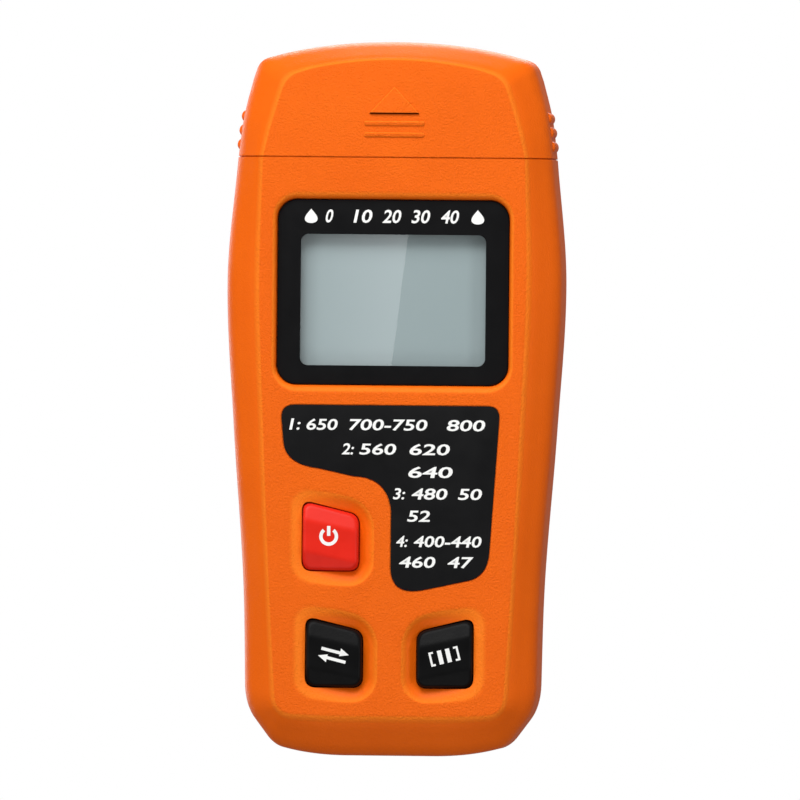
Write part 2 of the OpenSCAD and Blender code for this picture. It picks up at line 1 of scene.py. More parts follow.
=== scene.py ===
import json
import math

import bmesh
import bpy
import numpy as np
from mathutils import Matrix, Vector


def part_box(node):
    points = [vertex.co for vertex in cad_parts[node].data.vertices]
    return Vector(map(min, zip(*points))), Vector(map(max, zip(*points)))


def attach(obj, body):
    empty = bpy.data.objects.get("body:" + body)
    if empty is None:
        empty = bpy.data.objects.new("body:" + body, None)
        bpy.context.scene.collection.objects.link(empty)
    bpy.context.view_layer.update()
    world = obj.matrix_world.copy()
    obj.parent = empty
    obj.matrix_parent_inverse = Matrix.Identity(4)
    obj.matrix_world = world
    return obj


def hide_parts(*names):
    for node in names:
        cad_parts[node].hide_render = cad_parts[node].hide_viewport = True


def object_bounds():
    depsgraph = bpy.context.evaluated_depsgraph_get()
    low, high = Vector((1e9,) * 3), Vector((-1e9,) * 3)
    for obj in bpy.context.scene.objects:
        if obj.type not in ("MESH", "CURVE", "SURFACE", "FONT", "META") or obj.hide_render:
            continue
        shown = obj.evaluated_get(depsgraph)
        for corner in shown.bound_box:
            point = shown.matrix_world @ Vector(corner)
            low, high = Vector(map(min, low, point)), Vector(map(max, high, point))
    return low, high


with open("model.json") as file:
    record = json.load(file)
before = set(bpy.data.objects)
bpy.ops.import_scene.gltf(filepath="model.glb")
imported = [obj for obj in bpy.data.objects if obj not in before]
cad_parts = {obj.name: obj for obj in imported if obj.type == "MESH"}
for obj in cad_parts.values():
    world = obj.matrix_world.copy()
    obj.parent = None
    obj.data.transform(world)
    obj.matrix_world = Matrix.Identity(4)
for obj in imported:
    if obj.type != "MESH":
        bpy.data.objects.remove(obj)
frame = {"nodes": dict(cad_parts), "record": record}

cad_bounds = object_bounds()

# The meter is built lying on its back, in millimetres: x across, y up its length from the foot,
# z out of its front. to_row() stands it up in the frame: row X = x, row Y = back - z, row Z = y.
MM = 0.001
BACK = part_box("rear_shell")[1].y / MM


def to_row(points):
    p = np.asarray(points, float)
    return np.stack([p[..., 0], BACK - p[..., 2], p[..., 1]], -1) * MM


def lying_box(node):
    """(lowest, highest) corner of a CAD node in the lying frame, in millimetres."""
    low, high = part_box(node)
    return (
        np.array([low.x / MM, low.z / MM, BACK - high.y / MM]),
        np.array([high.x / MM, high.z / MM, BACK - low.y / MM]),
    )


# ---------- sizes taken from the frame ----------

FRONT = lying_box("front_shell")[1][2]
SPLIT = lying_box("front_shell")[0][2]
HALF_W = lying_box("front_shell")[1][0] - 0.006
NECK_TOP = lying_box("front_shell")[1][1]
SEAM = NECK_TOP - 6
TOP = lying_box("protective_cap")[1][1]
LENS_LOW, LENS_HIGH = lying_box("display_lens")
LENS_C = (LENS_LOW + LENS_HIGH) / 2
WINDOW_Y = LENS_C[1] - 1.5
WINDOW = (35.9, 25.4)
LABEL_LOW, LABEL_HIGH = lying_box("wood_label")
KEY_TOP = lying_box("power_button")[1][2] - 0.04
KEY_W, KEY_H = 10.8, 13.4
KEY_SLOPE = math.tan(math.radians(14))
KEY_CORNER = 1.9


def key_place(name):
    low, high = lying_box(name)
    centre = (low + high) / 2
    return centre[0], centre[1]


KEYS = {
    "power": (*key_place("power_button"), -1),
    "mode": (*key_place("mode_button"), -1),
    "hold": (*key_place("hold_button"), 1),
}

# Sizes of the screws, neck, battery door, lens and label seats, seam and the cap's mark
CASE_SCREWS = [(21.2, 15.5), (25.8, 108)]  # on the right, mirrored to the left
SCREW_R, SCREW_SEAT = 2.9, 8.5
NECK_WALL = 1.5
SLOT = (16.6, 9.4, 18.6)  # half width, lowest and highest z of the pin holder's slot
BEAD = (8, 16, SEAM + 2.6, SEAM + 3.6)  # friction bead on the neck: x from, x to, y from, y to
DOOR_HALF, DOOR_FOOT, DOOR_HEAD, DOOR_T = 15, 6, 61.8, 1.5
DOOR_PLAY = 0.2
HOOK_X, HOOK_R, HOOK_PLAY = (5.2, 10.8), (2.0, 3.3), 0.3
LENS_R, TAPE = 3.8, 0.15
LABEL_SINK, LABEL_GAP = 0.35, 0.15
SEAM_GAP, SHOULDER_TOP, SHOULDER_INSET = 0.22, 0.17, 0.3
MARK_RISE, MARK_ROUND = 0.3, 0.28

# ---------- curves ----------


def bezier(a, b, c, n):
    t = np.linspace(0, 1, n + 1)[:, None]
    return (1 - t) ** 2 * np.array(a) + 2 * t * (1 - t) * np.array(b) + t**2 * np.array(c)


def through(stations, y):
    """Cubic through stations (y, x), with slopes taken from the neighbours."""
    s = np.array(stations, float)
    last = len(s) - 1
    slopes = [
        (s[min(i + 1, last), 1] - s[max(i - 1, 0), 1]) / (s[min(i + 1, last), 0] - s[max(i - 1, 0), 0])
        for i in range(len(s))
    ]
    y = np.atleast_1d(np.asarray(y, float))
    i = np.clip(np.searchsorted(s[:, 0], y) - 1, 0, last - 1)
    h = s[i + 1, 0] - s[i, 0]
    t = (y - s[i, 0]) / h
    m = np.array(slopes)
    return (
        (2 * t**3 - 3 * t**2 + 1) * s[i, 1]
        + (t**3 - 2 * t**2 + t) * h * m[i]
        + (3 * t**2 - 2 * t**3) * s[i + 1, 1]
        + (t**3 - t**2) * h * m[i + 1]
    )


def side(stations, low, high, n):
    y = np.linspace(low, high, n + 1)
    return np.stack([through(stations, y), y], 1)


def smoothstep(low, high, x):
    t = np.clip((x - low) / (high - low), 0, 1)
    return t * t * (3 - 2 * t)


def soft_positive(a, k):
    """max(a, 0) with a rounded corner of width k, and exactly 0 well below it."""
    h = np.maximum(k - np.abs(a), 0) / k
    return np.maximum(a, 0) + h * h * k / 4


# ---------- outlines of the case ----------

RIM = [(10, HALF_W - 4.2), (34, HALF_W - 3.6), (63, HALF_W - 1.5), (92, HALF_W), (SEAM, HALF_W - 1.9)]
FACE = [
    (9, HALF_W - 10.7),
    (34, HALF_W - 9.2),
    (63, HALF_W - 7.9),
    (90, HALF_W - 6.9),
    (SEAM, HALF_W - 7.3),
]
CAP_RIM = [(SEAM, HALF_W - 1.9), (124, HALF_W - 3.0), (132, HALF_W - 5.0)]
CAP_FACE = [(SEAM, HALF_W - 7.3), (121, HALF_W - 8.6), (128, HALF_W - 10.7)]
FOOT_HALF, FACE_FOOT, FACE_HALF = 8.75, 8.05, 18.6


def body_halves(columns, corner, rows):
    """Right halves of the rim and of the face's edge, from the middle of the foot to the seam."""
    u = np.linspace(0, 1, columns // 2 + 1)
    bend = FOOT_HALF / FACE_HALF
    t = np.clip((u - bend) / (1 - bend), 0, 1)
    curved = np.stack(
        [
            (1 - t) ** 2 * FOOT_HALF + 2 * t * (1 - t) * 15.2 + t**2 * 20.4,
            2 * t * (1 - t) * 0.05 + t**2 * 1.4,
        ],
        1,
    )
    flat = np.stack([u * FACE_HALF, 0 * u], 1)
    rim = np.where((u < bend)[:, None], flat, curved)
    face = np.stack([u * FACE_HALF, FACE_FOOT + 0.25 * t**2], 1)
    rim = np.concatenate(
        [
            rim,
            bezier([21, 1.55], [22.7, 2.1], [24, 3.9], corner),
            bezier([26.3, 7], [HALF_W - 4.2, 9.6], [through(RIM, 14)[0], 14], corner + 2),
            side(RIM, 15, SEAM, rows),
        ]
    )
    face = np.concatenate(
        [
            face,
            bezier([19.1, FACE_FOOT + 0.3], [20.3, FACE_FOOT + 0.45], [21, 9.1], corner),
            bezier([21.3, 9.4], [21.8, 10], [through(FACE, 12)[0], 12], corner + 2),
            side(FACE, 13, SEAM, rows),
        ]
    )
    return rim, face


def cap_halves(corner, rows, arc):
    rim = np.concatenate(
        [
            side(CAP_RIM, SEAM, 131, rows),
            bezier([27.25, 132.4], [26.7, 134.6], [24.6, 135.15], corner),
            bezier([22, 135.85], [12, TOP], [0, TOP], arc),
        ]
    )
    face = np.concatenate(
        [
            side(CAP_FACE, SEAM, 127, rows),
            bezier([21.6, 128.4], [20.9, 131.3], [17.9, 132.15], corner),
            bezier([15.8, 132.8], [8, TOP - 3.75], [0, TOP - 3.75], arc),
        ]
    )
    return rim, face


def whole(half, middle_first):
    """The open path with both halves: a half's end on the middle line appears once."""
    left = half * np.array([-1, 1])
    if middle_first:
        return np.concatenate([left[:0:-1], half])
    return np.concatenate([half, left[-2::-1]])


def dense(profile, n):
    """A section profile (share of the way in, z) made smooth: Catmull-Rom through its points."""
    p = np.array(profile, float)
    out = []
    for i in range(len(p) - 1):
        a, b = p[max(i - 1, 0)], p[i]
        c, d = p[i + 1], p[min(i + 2, len(p) - 1)]
        m0, m1 = (c - a) / 2, (d - b) / 2
        for t in np.linspace(0, 1, n, endpoint=False):
            out.append(
                (2 * t**3 - 3 * t**2 + 1) * b
                + (t**3 - 2 * t**2 + t) * m0
                + (3 * t**2 - 2 * t**3) * c
                + (t**3 - t**2) * m1
            )
    out.append(p[-1])
    return out


BEVEL = [
    (0, FRONT - 7.2),
    (0.025, FRONT - 6.1),
    (0.09, FRONT - 5.1),
    (0.22, FRONT - 4),
    (0.45, FRONT - 2.6),
    (0.68, FRONT - 1.25),
    (0.86, FRONT - 0.38),
    (0.95, FRONT - 0.08),
    (1, FRONT),
]
BACK_ROUND = [
    (0.55 * (1 - math.cos(math.radians(t))), 4.6 * (1 - math.sin(math.radians(t))))
    for t in range(90, -1, -9)
]
INNER_BEVEL = [
    (0.31, FRONT - 8),
    (0.36, FRONT - 6.4),
    (0.55, FRONT - 4.6),
    (0.8, FRONT - 2.8),
    (1, FRONT - 2),
]
INNER_BACK = [(0.62, 1.7), (0.46, 2.5), (0.36, 3.5), (0.31, 5)]

# ---------- meshes ----------

scene = bpy.context.scene
SMOOTH_ANGLE = 32


def mesh_object(name, points, faces):
    mesh = bpy.data.meshes.new(name)
    mesh.from_pydata([tuple(p) for p in to_row(points)], [], [tuple(f) for f in faces])
    clean(mesh)
    obj = bpy.data.objects.new(name, mesh)
    scene.collection.objects.link(obj)
    shade(obj)
    return obj


def clean(mesh):
    b = bmesh.new()
    b.from_mesh(mesh)
    bmesh.ops.remove_doubles(b, verts=b.verts, dist=1e-7)
    bmesh.ops.recalc_face_normals(b, faces=b.faces)
    b.to_mesh(mesh)
    b.free()
    mesh.update()


def shade(obj):
    mesh = obj.data
    mesh.polygons.foreach_set("use_smooth", np.ones(len(mesh.polygons), bool))
    mesh.set_sharp_from_angle(angle=math.radians(SMOOTH_ANGLE))


def combined(obj, others, operation):
    """obj with each of the others cut from it or added to it; the others are used up."""
    for other in others:
        modifier = obj.modifiers.new("shape", "BOOLEAN")
        modifier.operation = operation
        modifier.solver = "MANIFOLD"
        modifier.object = other
    graph = bpy.context.evaluated_depsgraph_get()
    mesh = bpy.data.meshes.new_from_object(obj.evaluated_get(graph))
    obj.modifiers.clear()
    old = obj.data
    obj.data = mesh
    bpy.data.meshes.remove(old)
    for other in others:
        bpy.data.objects.remove(other)
    shade(obj)
    return obj


def cut(obj, *cutters):
    return combined(obj, cutters, "DIFFERENCE")


def add(obj, *extra):
    return combined(obj, extra, "UNION")


def ring_faces(levels, count, closed=True):
    spans = range(count if closed else count - 1)
    return [
        (k * count + i, k * count + (i + 1) % count, (k + 1) * count + (i + 1) % count, (k + 1) * count + i)
        for k in range(levels - 1)
        for i in spans
    ]


def loft(name, rings):
    """A closed solid through rings of equal length."""
    n, m = len(rings[0]), len(rings)
    faces = ring_faces(m, n) + [tuple(range(n)), tuple(range((m - 1) * n, m * n))]
    return mesh_object(name, np.concatenate(rings), faces)


def at_z(outline, z):
    outline = np.asarray(outline, float)
    height = np.broadcast_to(np.asarray(z, float).reshape(-1, 1), (len(outline), 1))
    return np.concatenate([outline, height], 1)


def prism(name, outline, z0, z1):
    return loft(name, [at_z(outline, z0), at_z(outline, z1)])


def block(name, x0, x1, y0, y1, z0, z1):
    return prism(name, [(x0, y0), (x1, y0), (x1, y1), (x0, y1)], z0, z1)


def bar(name, section, y0, y1):
    """A section in (x, z) drawn from y0 to y1."""
    s = np.asarray(section, float)
    rings = [np.stack([s[:, 0], np.full(len(s), y), s[:, 1]], 1) for y in (y0, y1)]
    return loft(name, rings)


def bar_x(name, section, x0, x1):
    """A section in (y, z) drawn from x0 to x1."""
    s = np.asarray(section, float)
    rings = [np.stack([np.full(len(s), x), s[:, 0], s[:, 1]], 1) for x in (x0, x1)]
    return loft(name, rings)


def hinge_arc(outer, inner, outer_span, inner_span):
    """Part of a ring about the door's hinge line, as a section in (y, z); spans in degrees."""
    a, b = (np.radians(np.linspace(*span, 28)) for span in (outer_span, inner_span[::-1]))
    arcs = [(outer, a), (inner, b)]
    return np.concatenate([np.stack([DOOR_FOOT + r * np.cos(t), r * np.sin(t)], 1) for r, t in arcs])


def disc(x, y, r, n=48):
    a = np.linspace(0, 2 * math.pi, n, endpoint=False)
    return np.stack([x + r * np.cos(a), y + r * np.sin(a)], 1)


def rounded(w, h, r, n=10, x=0.0, y=0.0):
    """A rounded rectangle about (x, y)."""
    points = []
    for sx, sy, start in ((1, 1, 0), (-1, 1, 90), (-1, -1, 180), (1, -1, 270)):
        for t in np.radians(np.linspace(start, start + 90, n + 1)):
            points.append((sx * (w / 2 - r) + r * math.cos(t), sy * (h / 2 - r) + r * math.sin(t)))
    return np.array(points) + np.array([x, y])


def resampled(outline, n):
    closed = np.concatenate([outline, outline[:1]])
    run = np.concatenate([[0], np.cumsum(np.linalg.norm(np.diff(closed, axis=0), axis=1))])
    s = np.linspace(0, run[-1], n, endpoint=False)
    return np.stack([np.interp(s, run, closed[:, k]) for k in (0, 1)], 1)


def offset(outline, d):
    """The outline moved outwards by d along its own normals."""
    p = np.asarray(outline, float)
    along = np.roll(p, -1, 0) - np.roll(p, 1, 0)
    normal = np.stack([along[:, 1], -along[:, 0]], 1)
    normal /= np.linalg.norm(normal, axis=1, keepdims=True) + 1e-12
    area = np.sum(p[:, 0] * np.roll(p[:, 1], -1) - np.roll(p[:, 0], -1) * p[:, 1])
    return p + normal * d * np.sign(area)


def plate(name, outline, z0, z1, top_r=0.0, bottom_r=0.0, steps=4):
    """A plate with rounded edges."""
    rings = []
    turns = [(1 - math.cos(a), 1 - math.sin(a)) for a in np.radians(np.linspace(0, 90, steps + 1))]
    if bottom_r:
        rings += [at_z(offset(outline, -bottom_r * far), z0 + bottom_r * near) for near, far in turns]
    else:
        rings.append(at_z(outline, z0))
    if top_r:
        rings += [at_z(offset(outline, -top_r * near), z1 - top_r * far) for near, far in turns]
    else:
        rings.append(at_z(outline, z1))
    return loft(name, rings)


def path_solid(name, rim, face, profile, place=None):
    """A solid whose wall follows an open path between rim and face, closed flat across its ends."""
    rings = []
    for k, z in profile:
        ring = at_z(rim + (face - rim) * k, z)
        rings.append(ring if place is None else place(ring))
    n, m = len(rim), len(rings)
    faces = ring_faces(m, n, closed=False)
    faces += [tuple(range(n)), tuple(range((m - 1) * n, m * n))]
    faces.append(tuple(k * n for k in range(m)) + tuple(k * n + n - 1 for k in reversed(range(m))))
    return mesh_object(name, np.concatenate(rings), faces)


def done(obj, body, material, slot, *nodes):
    obj.data.materials.clear()
    obj.data.materials.append(material)
    obj.data.polygons.foreach_set("material_index", np.zeros(len(obj.data.polygons), np.int32))
    shade(obj)
    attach(obj, body)
    if nodes:
        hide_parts(*nodes)
    return obj


# ---------- materials ----------


def new_material(name):
    material = bpy.data.materials.new(name)
    material.use_nodes = True
    tree = material.node_tree
    return material, tree, tree.nodes["Principled BSDF"]


def noise(tree, scale, detail=3.0, roughness=0.55):
    coordinates = tree.nodes.new("ShaderNodeTexCoord")
    node = tree.nodes.new("ShaderNodeTexNoise")
    node.inputs["Scale"].default_value = scale
    node.inputs["Detail"].default_value = detail
    node.inputs["Roughness"].default_value = roughness
    tree.links.new(coordinates.outputs["Object"], node.inputs["Vector"])
    return node.outputs["Fac"]


def ranged(tree, value, low, high, from_low=0.25, from_high=0.75):
    node = tree.nodes.new("ShaderNodeMapRange")
    node.inputs["From Min"].default_value = from_low
    node.inputs["From Max"].default_value = from_high
    node.inputs["To Min"].default_value = low
    node.inputs["To Max"].default_value = high
    tree.links.new(value, node.inputs["Value"])
    return node.outputs["Result"]


def product(tree, a, b):
    node = tree.nodes.new("ShaderNodeMath")
    node.operation = "MULTIPLY"
    tree.links.new(a, node.inputs[0])
    if isinstance(b, float):
        node.inputs[1].default_value = b
    else:
        tree.links.new(b, node.inputs[1])
    return node.outputs[0]


def blended(tree, factor, dark, light):
    node = tree.nodes.new("ShaderNodeMix")
    node.data_type = "RGBA"
    node.inputs["A"].default_value = (*dark, 1)
    node.inputs["B"].default_value = (*light, 1)
    tree.links.new(factor, node.inputs["Factor"])
    return node.outputs["Result"]


def bumped(tree, shader, height, strength, distance):
    node = tree.nodes.new("ShaderNodeBump")
    node.inputs["Strength"].default_value = strength
    node.inputs["Distance"].default_value = distance
    tree.links.new(height, node.inputs["Height"])
    tree.links.new(node.outputs["Normal"], shader.inputs["Normal"])
    return node


def surface(
    name, dark, light, rough, grain=0.0, grain_size=0.3, metal=0.0, specular=0.5, mottle=6.0
):
    """A finish with a slight drift of colour, uneven gloss and a fine grain; grain is its height in mm."""
    material, tree, shader = new_material(name)
    shader.inputs["Metallic"].default_value = metal
    shader.inputs["Specular IOR Level"].default_value = specular
    drift = noise(tree, 1 / (mottle * MM), 4)
    tree.links.new(blended(tree, ranged(tree, drift, 0, 1), dark, light), shader.inputs["Base Color"])
    worn = noise(tree, 1 / (mottle * 0.4 * MM), 3)
    tree.links.new(ranged(tree, worn, rough[0], rough[1]), shader.inputs["Roughness"])
    if grain:
        height = noise(tree, 1 / (grain_size * MM), 2)
        bumped(tree, shader, height, 1.0, grain * MM)
    return material


def orange_plastic():
    """Moulded orange plastic: spark-eroded grain on the flat front, smooth along its edges, with a painted
    highlight: a paler tint just under the face's edge, on pocket and recess rims and on the sides of the
    raised marks.
    """
    material, tree, shader = new_material("orange_plastic")
    shader.inputs["Specular IOR Level"].default_value = 0.13
    coordinates = tree.nodes.new("ShaderNodeTexCoord")
    split = tree.nodes.new("ShaderNodeSeparateXYZ")
    tree.links.new(coordinates.outputs["Object"], split.inputs["Vector"])
    front = (BACK - FRONT) * MM
    flat = ranged(tree, split.outputs["Y"], 1, 0.25, front + 0.04 * MM, front + 0.7 * MM)
    # Painted highlight: thin depth bands just under the front face (the face's edge, pocket and recess rims)
    # and on the sides of the raised marks, standing in for light caught there.
    rise = ranged(tree, split.outputs["Y"], 0, 1, front + 0.015 * MM, front + 0.12 * MM)
    fall = ranged(tree, split.outputs["Y"], 1, 0, front + 0.2 * MM, front + 0.75 * MM)
    mark_side_highlight = product(
        tree,
        ranged(tree, split.outputs["Y"], 1, 0, front - 0.06 * MM, front - 0.02 * MM),
        ranged(tree, split.outputs["Y"], 0, 1, front - 0.29 * MM, front - 0.24 * MM),
    )
    either = tree.nodes.new("ShaderNodeMath")
    either.operation = "MAXIMUM"
    tree.links.new(product(tree, rise, fall), either.inputs[0])
    tree.links.new(mark_side_highlight, either.inputs[1])
    painted_edge_highlight = either.outputs[0]
    drift = ranged(tree, noise(tree, 1 / (9 * MM), 4), 0, 1)
    plain = blended(tree, drift, (0.86, 0.128, 0.0022), (0.90, 0.141, 0.0030))
    # The paler colour mixed in here is the painted highlight on those edges and rims, not a colour of the
    # plastic.
    edge_highlight_tint = tree.nodes.new("ShaderNodeMix")
    edge_highlight_tint.data_type = "RGBA"
    edge_highlight_tint.inputs["B"].default_value = (1.0, 0.23, 0.012, 1)
    tree.links.new(plain, edge_highlight_tint.inputs["A"])
    tree.links.new(product(tree, painted_edge_highlight, 0.7), edge_highlight_tint.inputs["Factor"])
    tree.links.new(edge_highlight_tint.outputs["Result"], shader.inputs["Base Color"])
    uneven = ranged(tree, noise(tree, 1 / (1.3 * MM), 3), 0.34, 0.42)
    rough = tree.nodes.new("ShaderNodeMath")
    rough.operation = "MULTIPLY_ADD"
    tree.links.new(flat, rough.inputs[0])
    rough.inputs[1].default_value = 0.14
    tree.links.new(uneven, rough.inputs[2])
    tree.links.new(rough.outputs[0], shader.inputs["Roughness"])
    grain = noise(tree, 1 / (0.4 * MM), 3, 0.7)
    bump = bumped(tree, shader, product(tree, grain, flat), 1.0, 0.34 * MM)
    edge = tree.nodes.new("ShaderNodeBevel")
    edge.samples = 4
    edge.inputs["Radius"].default_value = 0.22 * MM
    tree.links.new(edge.outputs["Normal"], bump.inputs["Normal"])
    return material


def window_film():
    """Clear acrylic seen through, with only its surface reflection."""
    material = bpy.data.materials.new("window_clear")
    material.use_nodes = True
    tree = material.node_tree
    tree.nodes.clear()
    out = tree.nodes.new("ShaderNodeOutputMaterial")
    mix = tree.nodes.new("ShaderNodeMixShader")
    clear = tree.nodes.new("ShaderNodeBsdfTransparent")
    gloss = tree.nodes.new("ShaderNodeBsdfGlossy")
    gloss.inputs["Roughness"].default_value = 0.005
    fresnel = tree.nodes.new("ShaderNodeFresnel")
    fresnel.inputs["IOR"].default_value = 1.49
    geometry = tree.nodes.new("ShaderNodeNewGeometry")
    outer = ranged(tree, geometry.outputs["Backfacing"], 1, 0, 0, 1)
    tree.links.new(product(tree, fresnel.outputs["Fac"], outer), mix.inputs["Fac"])
    tree.links.new(clear.outputs["BSDF"], mix.inputs[1])
    tree.links.new(gloss.outputs["BSDF"], mix.inputs[2])
    tree.links.new(mix.outputs["Shader"], out.inputs["Surface"])
    return material


ORANGE = orange_plastic()
BLACK_KEY = surface(
    "black_key", (0.004, 0.004, 0.0042), (0.006, 0.006, 0.0062), (0.32, 0.42), 0.02, 0.35, specular=0.06
)
RED_KEY = surface(
    "red_key", (0.68, 0.018, 0.009), (0.76, 0.024, 0.012), (0.28, 0.38), 0.012, 0.35, specular=0.12
)
MASK = surface("lens_print", (0.005, 0.005, 0.0055), (0.007, 0.007, 0.0075), (0.30, 0.38), specular=0.1)
FILM = surface(
    "label_film", (0.005, 0.005, 0.0055), (0.008, 0.008, 0.0085), (0.42, 0.55), 0.006, 0.25, specular=0.1
)
WHITE_INK = surface(
    "white_ink", (0.82, 0.82, 0.80), (0.90, 0.90, 0.88), (0.45, 0.6), 0.004, 0.15, specular=0.3
)
BLACK_PLASTIC = surface(
    "black_plastic", (0.016, 0.016, 0.017), (0.026, 0.026, 0.027), (0.42, 0.56), 0.02, 0.3
)
LCD = surface("lcd_film", (0.285, 0.35, 0.358), (0.295, 0.36, 0.368), (0.6, 0.7), specular=0.04, mottle=20)
WINDOW_CLEAR = window_film()

NODE_FINISH = {
    "lcd_polariser": LCD,
    "lcd_reflector": surface("lcd_reflector", (0.5, 0.54, 0.52), (0.58, 0.62, 0.6), (0.4, 0.55)),
    "lcd_glass": surface("lcd_glass", (0.5, 0.56, 0.56), (0.56, 0.62, 0.62), (0.08, 0.14)),
    "steel": surface(
        "plated_steel", (0.55, 0.56, 0.58), (0.68, 0.69, 0.71), (0.24, 0.38), 0.006, 0.5, metal=1.0
    ),
    "polished_steel": surface(
        "polished_steel", (0.62, 0.63, 0.65), (0.74, 0.75, 0.77), (0.14, 0.24), 0.003, 0.4, metal=1.0
    ),
    "brass": surface(
        "turned_brass", (0.60, 0.42, 0.14), (0.75, 0.55, 0.22), (0.24, 0.36), 0.004, 0.4, metal=1.0
    ),
    "board": surface("solder_resist", (0.012, 0.11, 0.045), (0.02, 0.16, 0.07), (0.26, 0.4), 0.01, 0.8),
    "black_resin": surface("black_resin", (0.012, 0.012, 0.012), (0.02, 0.02, 0.02), (0.3, 0.5), 0.01, 0.5),
    "ceramic": surface("ceramic_parts", (0.32, 0.24, 0.16), (0.46, 0.36, 0.25), (0.4, 0.6), 0.01, 0.3),
    "capacitor_sleeve": surface("capacitor_sleeve", (0.02, 0.03, 0.08), (0.03, 0.045, 0.11), (0.25, 0.35)),
    "ivory_plastic": surface("ivory_plastic", (0.62, 0.57, 0.44), (0.7, 0.65, 0.52), (0.35, 0.5)),
    "pink_rubber": surface("pink_rubber", (0.55, 0.22, 0.25), (0.66, 0.3, 0.33), (0.6, 0.75), 0.01, 0.3),
    "red_wire": surface("red_wire", (0.5, 0.02, 0.015), (0.6, 0.035, 0.02), (0.3, 0.42), 0.004, 0.4),
    "black_wire": surface("black_wire", (0.012, 0.012, 0.012), (0.02, 0.02, 0.02), (0.3, 0.42), 0.004, 0.4),
    "foam": surface("foam", (0.03, 0.03, 0.032), (0.055, 0.055, 0.06), (0.85, 0.98), 0.25, 0.6),
}


def battery_jacket():
    """A dark printed jacket that leaves the plated ends of the battery bare."""
    material, tree, shader = new_material("battery_jacket")
    low, high = lying_box("battery")
    coordinates = tree.nodes.new("ShaderNodeTexCoord")
    split = tree.nodes.new("ShaderNodeSeparateXYZ")
    tree.links.new(coordinates.outputs["Object"], split.inputs["Vector"])
    up = split.outputs["Z"]
    foot = ranged(tree, up, 0, 1, (low[1] + 1.4) * MM, (low[1] + 1.5) * MM)
    head = ranged(tree, up, 1, 0, (high[1] - 1.9) * MM, (high[1] - 1.8) * MM)
    jacket = product(tree, foot, head)
    tree.links.new(blended(tree, jacket, (0.6, 0.61, 0.63), (0.03, 0.06, 0.13)), shader.inputs["Base Color"])
    tree.links.new(ranged(tree, jacket, 1, 0, 0, 1), shader.inputs["Metallic"])
    tree.links.new(ranged(tree, noise(tree, 1 / (3 * MM)), 0.26, 0.4), shader.inputs["Roughness"])
    bumped(tree, shader, product(tree, jacket, 1.0), 1.0, 0.05 * MM)
    return material


NODE_FINISH["battery"] = battery_jacket()


def finish_cad_nodes():
    """Every CAD node that stays in view gets its finish, by its own name or by its record slot."""
    slots = {row["node"]: row["material_slot"] for row in frame["record"]["subparts"]}
    for name, node in frame["nodes"].items():
        material = NODE_FINISH.get(name) or NODE_FINISH.get(slots[name])
        if slots[name] == "black_plastic":
            material = BLACK_PLASTIC
        if slots[name] == "black_film":
            material = FILM
        if material is None:
            continue
        node.data.materials.clear()
        node.data.materials.append(material)


# ---------- keys: outline, crown, pocket ----------


def key_outline(s, grow, n=10):
    w, h, r = KEY_W / 2, KEY_H / 2, KEY_CORNER
    high, low, out = h + grow, h - KEY_W * KEY_SLOPE + grow, w + grow
    p = np.concatenate(
        [
            bezier([out, r - h], [out, -high], [w - r, -high], n),
            bezier([r - w, -high], [-out, -high], [-out, r - h], n),
            bezier([-out, low - grow - r], [-out, low], [r - w, low + r * KEY_SLOPE], n),
            bezier([w - r, high - r * KEY_SLOPE], [out, high], [out, h - r], n),
        ]
    )
    return p * np.array([s, 1])


def key_distance(u, v):
    """Distance outside a key's outline, with its outer side at +u, negative inside."""
    w, h, r = KEY_W / 2, KEY_H / 2, KEY_CORNER
    level = math.hypot(1, KEY_SLOPE)
    top = (v - h + (w - u) * KEY_SLOPE) / level
    x = np.maximum(u - w, -w - u) + r
    y = np.maximum(-h - v, top) + r
    outside = np.hypot(np.maximum(x, 0), np.maximum(y, 0))
    return outside + np.minimum(np.maximum(x, y), 0) - r


def pocket_depth(x, y):
    """How far the front face is let in round the keys."""
    depth = np.zeros_like(x)
    for kx, ky, s in KEYS.values():
        u, v = s * (x - kx), y - ky
        d = key_distance(u, v)
        reach = 3.1 - 0.5 * smoothstep(-2, 5, u)
        deep = 1.9 - 1.45 * smoothstep(-KEY_W / 2 - 1, KEY_W / 2 + 1.5, u)
        slope = deep * (1 - np.maximum(d, -0.6) / reach)
        depth = np.maximum(depth, soft_positive(slope, 0.1))
    return depth


def key_crown(u, v):
    """Height of a key's top: three facets across it, parallel to its sloping upper edge."""
    top = KEY_H / 2
    w = v + (KEY_W / 2 - u) * KEY_SLOPE * 0.85
    upper = 0.34 * soft_positive(w - (top - 3.5), 0.5)
    lower = 0.30 * soft_positive(-(w - (3.9 - top)), 0.5)
    dish = 0.16 * np.clip(1 - (w / 3.2) ** 2, 0, 1) ** 2
    return KEY_TOP - upper - lower - dish


def build_key(name, material, slot, rings=26, n=14):
    kx, ky, s = KEYS[name]
    outline = resampled(key_outline(1, 0, n), 120)
    middle = np.array([0.0, -0.6])
    levels = []
    edge_r = 0.75
    for share in np.linspace(0.02, 1, rings) ** 0.8:
        p = middle + (outline - middle) * share
        inside = -key_distance(p[:, 0], p[:, 1])
        drop = edge_r - np.sqrt(np.maximum(edge_r**2 - np.maximum(edge_r - inside, 0) ** 2, 0))
        levels.append(at_z(p, 0) + np.stack([0 * drop, 0 * drop, key_crown(p[:, 0], p[:, 1]) - drop], 1))
    flange = 0.9
    flange_z = lying_box(name + "_button")[0][2] + 0.3
    wider = offset(outline, flange)
    walls = [at_z(outline, flange_z + flange), at_z(wider, flange_z + flange), at_z(wider, flange_z)]
    rings_at = [ring * np.array([s, 1, 1]) + np.array([kx, ky, 0]) for ring in levels + walls]
    key = loft(name + "_key_cap", rings_at)
    post = prism("post", disc(kx, ky, 2), lying_box(name + "_button")[0][2], flange_z + 0.5)
    add(key, post)
    return done(key, name + "_key", material, slot, name + "_button")


# ---------- shells ----------


